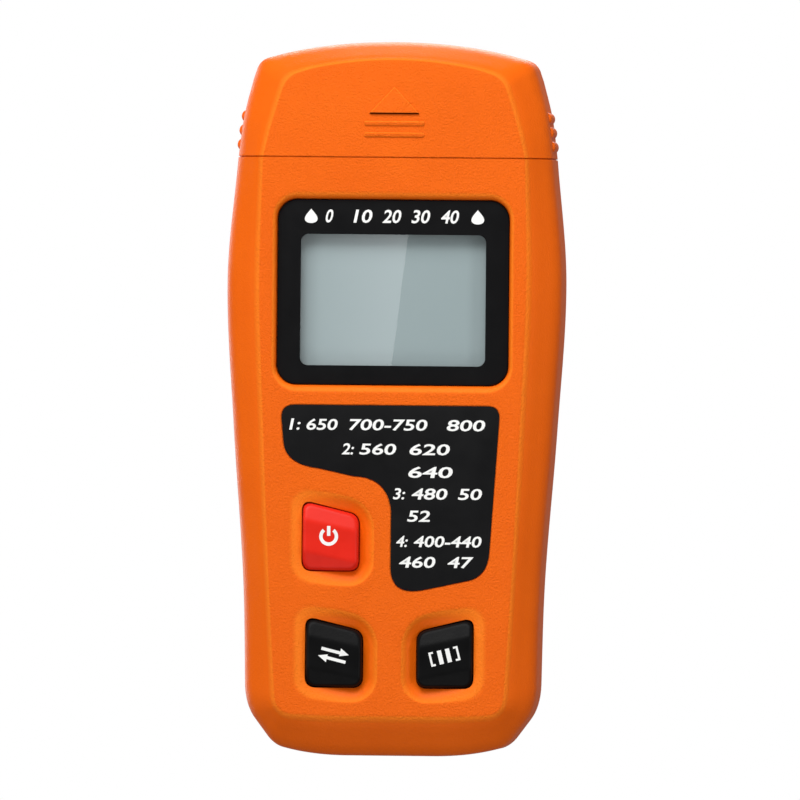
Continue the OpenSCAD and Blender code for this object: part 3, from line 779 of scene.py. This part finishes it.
def front_solid(columns=124, corner=8, rows=250):
    """The front half of the case as one closed skin: a fine grid for the face, bands for its bevels."""
    rim_half, face_half = body_halves(columns, corner, rows)
    half = columns // 2
    profile = [(0, SPLIT)] + dense(BEVEL, 4)[:-1]
    rim, face = whole(rim_half, True), whole(face_half, True)
    bands = [at_z(rim + (face - rim) * k, z) for k, z in profile]
    n, m = len(rim), len(bands)
    sides = face_half[half + 1 :]
    across = np.linspace(-1, 1, columns + 1)
    first = whole(face_half[: half + 1], True)
    grid = [first] + [np.stack([across * x, np.full(columns + 1, y)], 1) for x, y in sides]
    grid = np.array(grid)
    depth = pocket_depth(grid[..., 0], grid[..., 1])
    patch = np.concatenate([grid, FRONT - depth[..., None]], 2)
    rows_all, base = len(patch), n * m
    index = base + np.arange(rows_all * (columns + 1)).reshape(rows_all, columns + 1)
    edge = list(index[:0:-1, 0]) + list(index[0]) + list(index[1:, -1])
    faces = ring_faces(m, n, closed=False)
    last = (m - 1) * n
    faces += [(last + i, last + i + 1, edge[i + 1], edge[i]) for i in range(n - 1)]
    faces += [
        (index[j, c], index[j, c + 1], index[j + 1, c + 1], index[j + 1, c])
        for j in range(rows_all - 1)
        for c in range(columns)
    ]
    faces.append(tuple(range(n)))
    left = [k * n for k in range(m)]
    right = [k * n + n - 1 for k in range(m)]
    faces.append(tuple(left) + tuple(index[-1]) + tuple(reversed(right)))
    points = np.concatenate(bands + [patch.reshape(-1, 3)])
    return mesh_object("front_case", points, [tuple(int(i) for i in f) for f in faces])


def hollow(name, profile):
    rim, face = (whole(h, True) for h in body_halves(12, 4, 40))

    def place(ring):
        return np.stack([ring[:, 0], np.minimum(ring[:, 1], SEAM - 2), ring[:, 2]], 1)

    return path_solid(name, rim, face, profile, place)


def neck_front(e):
    h = HALF_W - 4.9
    right = [
        (h - e, SPLIT),
        (h - e, 19.5),
        (h - 0.7 - e, 22.2),
        (h - 2.6 - e, 24.4 - e * 0.7),
        (h - 5.4 - e, FRONT - 2.5 - e),
    ]
    return right + [(-x, z) for x, z in reversed(right)]


def neck_rear(e):
    h = HALF_W - 4.9
    right = [(h - e, SPLIT), (h - e, 6), (h - 1.2 - e, 3.6 + e * 0.7), (h - 3.4 - e, 2.3 + e)]
    return right + [(-x, z) for x, z in reversed(right)]


def shoulder(name, profile, inset):
    """A low step inside the seam, so that no light shows between body and cap."""
    rim_x, face_x = RIM[-1][1], FACE[-1][1]
    right = [(rim_x + (face_x - rim_x) * k, z) for k, z in profile]
    section = np.array(right + [(-x, z) for x, z in reversed(right)])
    return bar(name, offset(resampled(section, 200), -inset), SEAM - 1, SEAM + SHOULDER_TOP)


def display_cutter():
    """The display's recess: its wall rounds over into the face."""
    lens = np.array([LENS_HIGH[0] * 2, LENS_HIGH[1] - LENS_LOW[1]])
    seat, rim = lens + 0.3, lens + np.array([2.7, 3.9])
    seat_r, rim_r = LENS_R + 0.1, 5.5
    y, z_low = LENS_C[1], LENS_HIGH[2] + 0.1

    def ring(share, z):
        w, h = seat + (rim - seat) * share
        return at_z(rounded(w, h, seat_r + (rim_r - seat_r) * share, 12, 0, y), z)

    rings = [ring(0, LENS_LOW[2] - TAPE), ring(0, z_low)]
    for t in np.linspace(0.05, 1, 14):
        z = z_low + (FRONT + 0.004 - z_low) * math.sin(t * math.pi / 2)
        rings.append(ring(1 - math.cos(t * math.pi / 2), z))
    rings.append(ring(1, FRONT + 1))
    return loft("recess", rings)


LABEL_PATH = [
    ([18.6, 67.85], [21.1, 67.85], [20.9, 65.2]),
    ([19.2, 39.6], [18.9, 35], [15.2, 34.1]),
    ([6.4, 32.2], [0.2, 31], [0.1, 36.4]),
    ([0.1, 47.5], [-0.6, 54], [-7.2, 54.1]),
    ([-14, 55.6], [-20.6, 56.3], [-20.9, 60.8]),
    ([-21.3, 65], [-21.5, 67.85], [-18.6, 67.85]),
]


def label_outline(n=14):
    return np.concatenate([bezier(a, b, c, n) for a, b, c in LABEL_PATH])


def both(name, x0, x1, *rest):
    """A block from x0 to x1 on the right, and its mirror on the left."""
    return [block(name, *sorted((sx * x0, sx * x1)), *rest) for sx in (-1, 1)]


def screw_pegs(name, r, z0, z1, n=48, places=CASE_SCREWS):
    return [prism(name, disc(sx * x, y, r, n), z0, z1) for sx in (-1, 1) for x, y in places]


def build_front_shell():
    shell = front_solid()
    cut(shell, hollow("hollow", [(0.31, SPLIT - 1)] + INNER_BEVEL))
    ledge_z = LENS_LOW[2] - TAPE
    extra = [
        bar("neck", neck_front(0), SEAM - 1, NECK_TOP),
        shoulder("step", [(0, SPLIT)] + BEVEL, SHOULDER_INSET),
        block("ledge", -24.6, 24.6, LENS_C[1] - 21, LENS_C[1] + 21, ledge_z - 1.35, FRONT - 1.9),
    ]
    for kx, ky, s in KEYS.values():
        extra.append(prism("pad", key_outline(s, 4) + np.array([kx, ky]), FRONT - 3, FRONT - 1.95))
    extra += screw_pegs("post", 3, SPLIT, FRONT - 1.8, places=CASE_SCREWS[:1])
    extra += screw_pegs("post", 3, SPLIT, FRONT - 4, places=CASE_SCREWS[1:])
    extra += both("bead", *BEAD, FRONT - 3, FRONT - 2.2)
    add(shell, *extra)
    half, low, high = SLOT
    cutters = [
        bar("bore", neck_front(NECK_WALL), SEAM - 3, NECK_TOP - 1.6),
        block("slot", -half, half, NECK_TOP - 2, NECK_TOP + 1, low, high),
        display_cutter(),
        prism("window", rounded(38.5, 28.6, 1.2, 6, 0, WINDOW_Y), ledge_z - 3, ledge_z + 1),
        prism("label", offset(resampled(label_outline(), 260), LABEL_GAP), FRONT - LABEL_SINK, FRONT + 1),
    ]
    for kx, ky, s in KEYS.values():
        cutters.append(prism("hole", key_outline(s, 0.2) + np.array([kx, ky]), FRONT - 4, FRONT + 1))
    cutters += screw_pegs("pilot", 1.42, SPLIT - 1, FRONT - 5, 24)
    cut(shell, *cutters)
    return done(shell, "case", ORANGE, "orange_plastic", "front_shell")


def build_rear_shell():
    rim, face = (whole(h, True) for h in body_halves(40, 6, 120))
    shell = path_solid("rear_case", rim, face, BACK_ROUND + [(0, SPLIT)])
    cut(shell, hollow("hollow", INNER_BACK + [(0.31, SPLIT + 1)]))
    bay_in, bay_out, bay_top = 13.6, 14.8, 19.8
    extra = [
        bar("neck", neck_rear(0), SEAM - 1, NECK_TOP),
        shoulder("step", BACK_ROUND + [(0, SPLIT)], SHOULDER_INSET),
        block("bay", -17.6, 17.6, 3.6, 65.6, 0.6, 3.2),
        block("wall", -bay_out, bay_out, 8.4, 9.6, 4.6, bay_top),
        block("wall", -bay_out, bay_out, 60.5, 61.7, 3, bay_top),
    ]
    extra += both("wall", bay_in, bay_out, 8.4, 61.7, 3, bay_top)
    extra += both("bead", *BEAD, 2, 2.6)
    extra += screw_pegs("boss", 4.1, 1, SPLIT)
    add(shell, *extra)
    half, low, high = SLOT
    opening = DOOR_HALF + DOOR_PLAY
    cutters = [
        bar("bore", neck_rear(NECK_WALL), SEAM - 3, NECK_TOP - 1.6),
        block("slot", -half, half, NECK_TOP - 2, NECK_TOP + 1, low, high),
        block("opening", -opening, opening, DOOR_FOOT, DOOR_HEAD + DOOR_PLAY, -1, DOOR_T + DOOR_PLAY),
        block("opening", -bay_in, bay_in, 8.2, 60.5, -1, 4),
        block("notch", -4.6, 4.6, 60, 64.5, -1, 6.4),
        block("passage", -9, -3, 60, 62, 14.6, 20.5),
    ]
    arc = hinge_arc(HOOK_R[1] + HOOK_PLAY, HOOK_R[0] - HOOK_PLAY, (12.8, 167.2), (28, 152))
    for sx in (-1, 1):
        cutters.append(bar_x("hook_path", arc, *sorted((sx * (HOOK_X[0] - 0.4), sx * (HOOK_X[1] + 0.4)))))
    cutters += screw_pegs("head", SCREW_R, -1, SCREW_SEAT)
    cutters += screw_pegs("shank", 1.6, SCREW_SEAT - 0.5, SPLIT + 1, 24)
    cut(shell, *cutters)
    return done(shell, "case", ORANGE, "orange_plastic", "rear_shell")


def build_cap():
    rim, face = (whole(h, False) for h in cap_halves(14, 60, 46))
    profile = BACK_ROUND + dense(BEVEL, 4)

    def lifted(ring):
        return np.stack([ring[:, 0], np.maximum(ring[:, 1], SEAM + SEAM_GAP), ring[:, 2]], 1)

    cap = path_solid("pin_cap", rim, face, profile, lifted)
    ribs = []
    for sx in (-1, 1):
        for y in (123.7, 120.95, 118.2):
            x = sx * (through(CAP_RIM, y)[0] - 0.65)
            ribs.append(plate("rib", disc(x, y, 1.25, 40), 7, 20, 0.6, 0.6))
    marks = [rounded_polygon([(-5, 124.25), (5, 124.25), (0, 129.55)], 0.35)]
    marks += [rounded(11.7, 0.9, 0.44, 8, 0, y) for y in (122.45, 120.25)]
    ribs += [plate("mark", m, FRONT - 0.2, FRONT + MARK_RISE, MARK_ROUND) for m in marks]
    add(cap, *ribs)
    rim, face = (whole(h, False) for h in cap_halves(5, 12, 12))

    def inside(ring):
        y = SEAM + (ring[:, 1] - SEAM) * 0.965
        y[[0, -1]] = SEAM - 1
        return np.stack([ring[:, 0], y, ring[:, 2]], 1)

    cut(cap, path_solid("hollow", rim, face, INNER_BACK + INNER_BEVEL, inside))
    return done(cap, "cap", ORANGE, "orange_plastic", "protective_cap")


def rounded_polygon(corners, r, n=6):
    c = np.array(corners, float)
    points = []
    for i in range(len(c)):
        a, b, d = c[i - 1], c[i], c[(i + 1) % len(c)]
        start = b + (a - b) / np.linalg.norm(a - b) * r
        end = b + (d - b) / np.linalg.norm(d - b) * r
        points.append(bezier(start, b, end, n))
    return np.concatenate(points)


def build_door():
    foot, edge_r = DOOR_FOOT + 0.15, 0.15
    panel = rounded(2 * DOOR_HALF, DOOR_HEAD - foot, 0.5, 5, 0, (foot + DOOR_HEAD) / 2)
    door = plate("door", panel, 0, DOOR_T, 0.0, edge_r)
    extra = [
        plate("tongue", rounded(8.6, 4, 1.4, 6, 0, DOOR_HEAD + 0.1), 0, DOOR_T, 0.0, edge_r),
        block("finger", -3.6, 3.6, 60.8, 61.6, 1, 5.6),
    ]
    arc = hinge_arc(HOOK_R[1], HOOK_R[0], (13.1, 144.9), (22, 108.2))
    for sx in (-1, 1):
        extra.append(bar_x("hook", arc, *sorted((sx * HOOK_X[0], sx * HOOK_X[1]))))
    for i in range(5):
        extra.append(block("stiffener", -7, 7, 52.6 - 1.8 * i, 53.2 - 1.8 * i, 1, 1.8))
    add(door, *extra)
    grooves = [prism("groove", rounded(15, 0.8, 0.35, 5, 0, 57.5 - 1.7 * i), -1, 0.35) for i in range(6)]
    cut(door, *grooves)
    return done(door, "door", ORANGE, "orange_plastic", "battery_door")


# ---------- display, label, markings ----------


def build_display():
    w, h = LENS_HIGH[0] * 2, LENS_HIGH[1] - LENS_LOW[1]
    outline = rounded(w, h, LENS_R, 12, 0, LENS_C[1])
    mask = plate("lens_surround", outline, LENS_LOW[2], LENS_HIGH[2], 0.2)
    opening = rounded(*WINDOW, 1.5, 10, 0, WINDOW_Y)
    cut(mask, prism("opening", opening, LENS_LOW[2] - 1, LENS_HIGH[2] + 1))
    done(mask, "case", MASK, "lens", "display_lens")
    pane = prism("lens_window", offset(opening, -0.01), LENS_HIGH[2] - 0.35, LENS_HIGH[2] - 0.05)
    done(pane, "case", WINDOW_CLEAR, "lens")
    pane.visible_shadow = False


def ink(name, outlines, z, body, thickness=0.03):
    """Printed marks: thin plates over a surface; z is a height or a function of (x, y)."""
    points, faces = [], []
    for outline in outlines:
        p = np.asarray(outline, float)
        height = z(p[:, 0], p[:, 1]) if callable(z) else np.full(len(p), z)
        n, base = len(p), len(points)
        points += list(at_z(p, height)) + list(at_z(p, height + thickness))
        faces += [(base + i, base + (i + 1) % n, base + n + (i + 1) % n, base + n + i) for i in range(n)]
        faces += [tuple(base + i for i in range(n)), tuple(base + n + i for i in range(n))]
    obj = mesh_object(name, points, faces)
    return done(obj, body, WHITE_INK, "print_white")


def stroke(path, width):
    """Quads along a path, as separate outlines, so that they can follow a curved surface."""
    p = np.asarray(path, float)
    along = np.gradient(p, axis=0)
    normal = np.stack([-along[:, 1], along[:, 0]], 1)
    normal /= np.linalg.norm(normal, axis=1, keepdims=True)
    left, right = p + normal * width / 2, p - normal * width / 2
    return [np.array([left[i], right[i], right[i + 1], left[i + 1]]) for i in range(len(p) - 1)]


def drop(x, y, size):
    t = np.linspace(0, 2 * math.pi, 40, endpoint=False)
    return np.stack([x + size * 0.62 * np.sin(t) * np.sin(t / 2) ** 1.4, y - size * np.cos(t) * 0.5 * -1], 1)


def number(text, x0, x1, y, height):
    """Numerals as flat outlines fitted between x0 and x1, leaning a little: (points, faces)."""
    curve = bpy.data.curves.new("numerals", "FONT")
    curve.body = text
    curve.offset = 0.018
    curve.resolution_u = 3
    holder = bpy.data.objects.new("numerals", curve)
    scene.collection.objects.link(holder)
    graph = bpy.context.evaluated_depsgraph_get()
    mesh = bpy.data.meshes.new_from_object(holder.evaluated_get(graph))
    p = np.array([v.co[:2] for v in mesh.vertices])
    faces = [tuple(f.vertices) for f in mesh.polygons]
    bpy.data.objects.remove(holder)
    bpy.data.meshes.remove(mesh)
    bpy.data.curves.remove(curve)
    low, high = p.min(0), p.max(0)
    share = (p - low) / (high - low)
    lean = 0.2 * height
    x = x0 + share[:, 0] * (x1 - x0 - lean) + share[:, 1] * lean
    return np.stack([x, y + (share[:, 1] - 0.5) * height], 1), faces


def numerals(name, rows, z, body):
    points, faces = [], []
    for row in rows:
        p, f = number(*row)
        faces += [tuple(i + len(points) for i in face) for face in f]
        points += list(at_z(p, z + 0.02))
    mesh = bpy.data.meshes.new(name)
    mesh.from_pydata([tuple(q) for q in to_row(points)], [], faces)
    obj = bpy.data.objects.new(name, mesh)
    scene.collection.objects.link(obj)
    return done(obj, body, WHITE_INK, "print_white")


def header_marks():
    """A moisture scale: a drop at each end of a row of tens."""
    y, z = 104.45, LENS_HIGH[2]
    ink("scale_drops", [drop(-16.0, y, 2.8), drop(16.3, y, 2.8)], z, "case")
    tens = []
    for i in range(5):
        x, width = -13.4 + 5.6 * i, 1.9 if i == 0 else 3.9
        tens.append((str(10 * i), x, x + width, y, 2.6))
    numerals("scale_numerals", tens, z, "case")


def label_marks():
    """Four numbered groups, each with its figures."""
    rows = [
        (64.1, [("1:", -19.8, -17.4), ("650", -16.6, -10.2), ("700-750", -8.4, 7.2), ("800", 10.6, 18.4)]),
        (59.4, [("2:", -9.6, -7.0), ("560", -6.2, 1.2), ("620", 3.4, 11.6)]),
        (55.0, [("640", 3.2, 12.2)]),
        (50.8, [("3:", 0.4, 3.0), ("480", 3.9, 11.2), ("50", 13.0, 17.9)]),
        (46.5, [("52", 3.2, 8.0)]),
        (41.6, [("4:", 1.0, 3.6), ("400-440", 4.4, 17.9)]),
        (37.6, [("460", 1.6, 9.0), ("47", 11.0, 16.2)]),
    ]
    figures = [(text, x0, x1, y, 2.2) for y, words in rows for text, x0, x1 in words]
    numerals("label_numerals", figures, LABEL_HIGH[2], "case")


def on_key(name):
    kx, ky, s = KEYS[name]

    def height(x, y):
        return key_crown(s * (x - kx), y - ky) + 0.005

    return kx, ky, s, height


def power_mark():
    kx, ky, _, height = on_key("power")
    kx, cy = kx - 0.3, ky - 0.1
    t = np.radians(np.linspace(128, 412, 40))
    arc = np.stack([kx + 1.5 * np.cos(t), cy + 1.5 * np.sin(t)], 1)
    line = np.stack([np.full(8, kx), np.linspace(cy + 0.1, cy + 2.0, 8)], 1)
    ink("power_mark", stroke(arc, 0.66) + stroke(line, 0.66), height, "power_key", 0.025)


def turned(points, x, y, angle):
    c, s = math.cos(angle), math.sin(angle)
    p = np.asarray(points, float) @ np.array([[c, s], [-s, c]])
    return p + np.array([x, y])


def mode_mark():
    """Two arrows pointing opposite ways, for stepping through the groups."""
    kx, ky, s, height = on_key("mode")
    marks = []
    for sign in (1, -1):
        shaft = [(-2.6, 0.45), (1.2, 0.45), (1.2, 1.05), (-2.6, 1.05)]
        head = [(1.1, 0.1), (2.9, 0.75), (1.1, 1.65)]
        for shape in (shaft, head):
            marks.append(turned(np.array(shape) * sign, kx, ky - 0.6, s * math.atan(KEY_SLOPE)))
    ink("mode_mark", marks, height, "mode_key", 0.025)


def hold_mark():
    """A pause sign between two brackets."""
    kx, ky, s, height = on_key("hold")

    def rectangle(x0, x1, y0, y1):
        return [(x0, y0), (x1, y0), (x1, y1), (x0, y1)]

    shapes = [rectangle(x - 0.42, x + 0.42, -1.35, 1.35) for x in (-0.8, 0.8)]
    for sx in (-1, 1):
        shapes.append(rectangle(sx * 2.9, sx * 2.5, -1.4, 1.4))
        for y in (-1.4, 1.02):
            shapes.append(rectangle(sx * 2.6, sx * 2.0, y, y + 0.38))
    marks = [turned(np.array(shape), kx, ky - 0.6, s * math.atan(KEY_SLOPE)) for shape in shapes]
    ink("hold_mark", marks, height, "hold_key", 0.025)


def build_label():
    outline = resampled(label_outline(), 260)
    label = plate("species_label", outline, LABEL_LOW[2], LABEL_HIGH[2], 0.08)
    done(label, "case", FILM, "black_film", "wood_label")


# ---------- stage, lights, camera ----------


def build_glare_card():
    """A lit panel far in front of the meter: the window reflects its slanted edge."""
    far = 2.0
    spread = 1 + far / CAMERA_DISTANCE
    x, y = -far * math.tan(CAMERA_AZIMUTH), -far
    middle_z = TOP / 2
    foot, top = (middle_z + (WINDOW_Y + side_of * 17 - middle_z) * spread for side_of in (-1, 1))
    corners = [(-40, foot), (-0.6 * spread, foot), (3.4 * spread, top), (-40, top)]
    mesh = bpy.data.meshes.new("glare_card")
    mesh.from_pydata([(x + across * MM, y, up * MM) for across, up in corners], [], [(0, 1, 2, 3)])
    card = bpy.data.objects.new("glare_card", mesh)
    scene.collection.objects.link(card)
    material, tree, shader = new_material("card_glow")
    shader.inputs["Base Color"].default_value = (0.8, 0.8, 0.8, 1)
    shader.inputs["Emission Color"].default_value = (0.96, 0.98, 1, 1)
    where = tree.nodes.new("ShaderNodeTexCoord")
    split = tree.nodes.new("ShaderNodeSeparateXYZ")
    tree.links.new(where.outputs["Object"], split.inputs["Vector"])
    glow = ranged(tree, split.outputs["X"], 0.25, 2.9, x - 28 * MM, x + 2 * MM)
    tree.links.new(glow, shader.inputs["Emission Strength"])
    mesh.materials.append(material)
    card.visible_camera = False


def build_world():
    world = bpy.data.worlds.new("studio")
    scene.world = world
    world.use_nodes = True
    tree = world.node_tree
    tree.nodes.clear()
    out = tree.nodes.new("ShaderNodeOutputWorld")
    mix = tree.nodes.new("ShaderNodeMixShader")
    path = tree.nodes.new("ShaderNodeLightPath")
    dim = tree.nodes.new("ShaderNodeBackground")
    dim.inputs["Color"].default_value = (1, 1, 1, 1)
    dim.inputs["Strength"].default_value = 0.22
    white = tree.nodes.new("ShaderNodeBackground")
    white.inputs["Color"].default_value = (1, 1, 1, 1)
    white.inputs["Strength"].default_value = 1.0
    tree.links.new(path.outputs["Is Camera Ray"], mix.inputs["Fac"])
    tree.links.new(dim.outputs["Background"], mix.inputs[1])
    tree.links.new(white.outputs["Background"], mix.inputs[2])
    tree.links.new(mix.outputs["Shader"], out.inputs["Surface"])


def area_light(name, at, towards, size, power, spread=180):
    data = bpy.data.lights.new(name, "AREA")
    data.shape = "RECTANGLE"
    data.size, data.size_y = size
    data.energy = power
    data.spread = math.radians(spread)
    light = bpy.data.objects.new(name, data)
    light.location = at
    light.rotation_euler = (Vector(towards) - Vector(at)).to_track_quat("-Z", "Y").to_euler()
    scene.collection.objects.link(light)
    return light


def build_lights(centre):
    area_light("key_above", centre + Vector((-0.06, -0.36, 0.5)), centre, (0.5, 0.3), 2.6)
    area_light("front_soft", centre + Vector((-0.3, -1.0, 0.95)), centre, (0.7, 0.6), 7.0)
    area_light("side_left", centre + Vector((-0.9, -0.75, 0.1)), centre, (0.3, 0.8), 2.8)
    area_light("side_right", centre + Vector((0.9, -0.75, 0.1)), centre, (0.3, 0.8), 2.8)
    area_light("rear_above", centre + Vector((0.1, 1.2, 0.9)), centre, (0.9, 0.6), 15.0)
    area_light("below", centre + Vector((0, -0.7, -0.7)), centre, (0.7, 0.4), 1.5)
    area_light("rear_left", centre + Vector((-0.9, 1.1, 0.1)), centre, (0.4, 0.9), 7.0)


FRAME_MM = 155.2
CAMERA_AZIMUTH = math.radians(3.3)
CAMERA_DISTANCE = 5.0
CAMERA_ROLL = math.radians(0.55)


def build_camera(centre):
    data = bpy.data.cameras.new("camera")
    data.sensor_width = 36
    data.lens = 36 * CAMERA_DISTANCE / (FRAME_MM * MM)
    camera = bpy.data.objects.new("camera", data)
    scene.collection.objects.link(camera)
    towards = Vector((math.sin(CAMERA_AZIMUTH), -math.cos(CAMERA_AZIMUTH), 0.0))
    aim = centre + Vector((0.85, 0, -0.2)) * MM
    camera.location = aim + towards * CAMERA_DISTANCE
    look = (-towards).to_track_quat("-Z", "Y").to_matrix().to_4x4()
    camera.rotation_euler = (look @ Matrix.Rotation(CAMERA_ROLL, 4, "Z")).to_euler()
    scene.camera = camera


middle = Vector(((cad_bounds[0][0] + cad_bounds[1][0]) / 2, 0, (cad_bounds[0][2] + cad_bounds[1][2]) / 2))
scene.view_settings.view_transform = "Standard"
build_camera(middle)
build_world()
build_lights(middle)
build_glare_card()

finish_cad_nodes()
build_front_shell()
build_rear_shell()
build_cap()
build_door()
build_display()
build_label()
header_marks()
label_marks()
build_key("power", RED_KEY, "red_plastic")
build_key("mode", BLACK_KEY, "black_key")
build_key("hold", BLACK_KEY, "black_key")
power_mark()
mode_mark()
hold_mark()
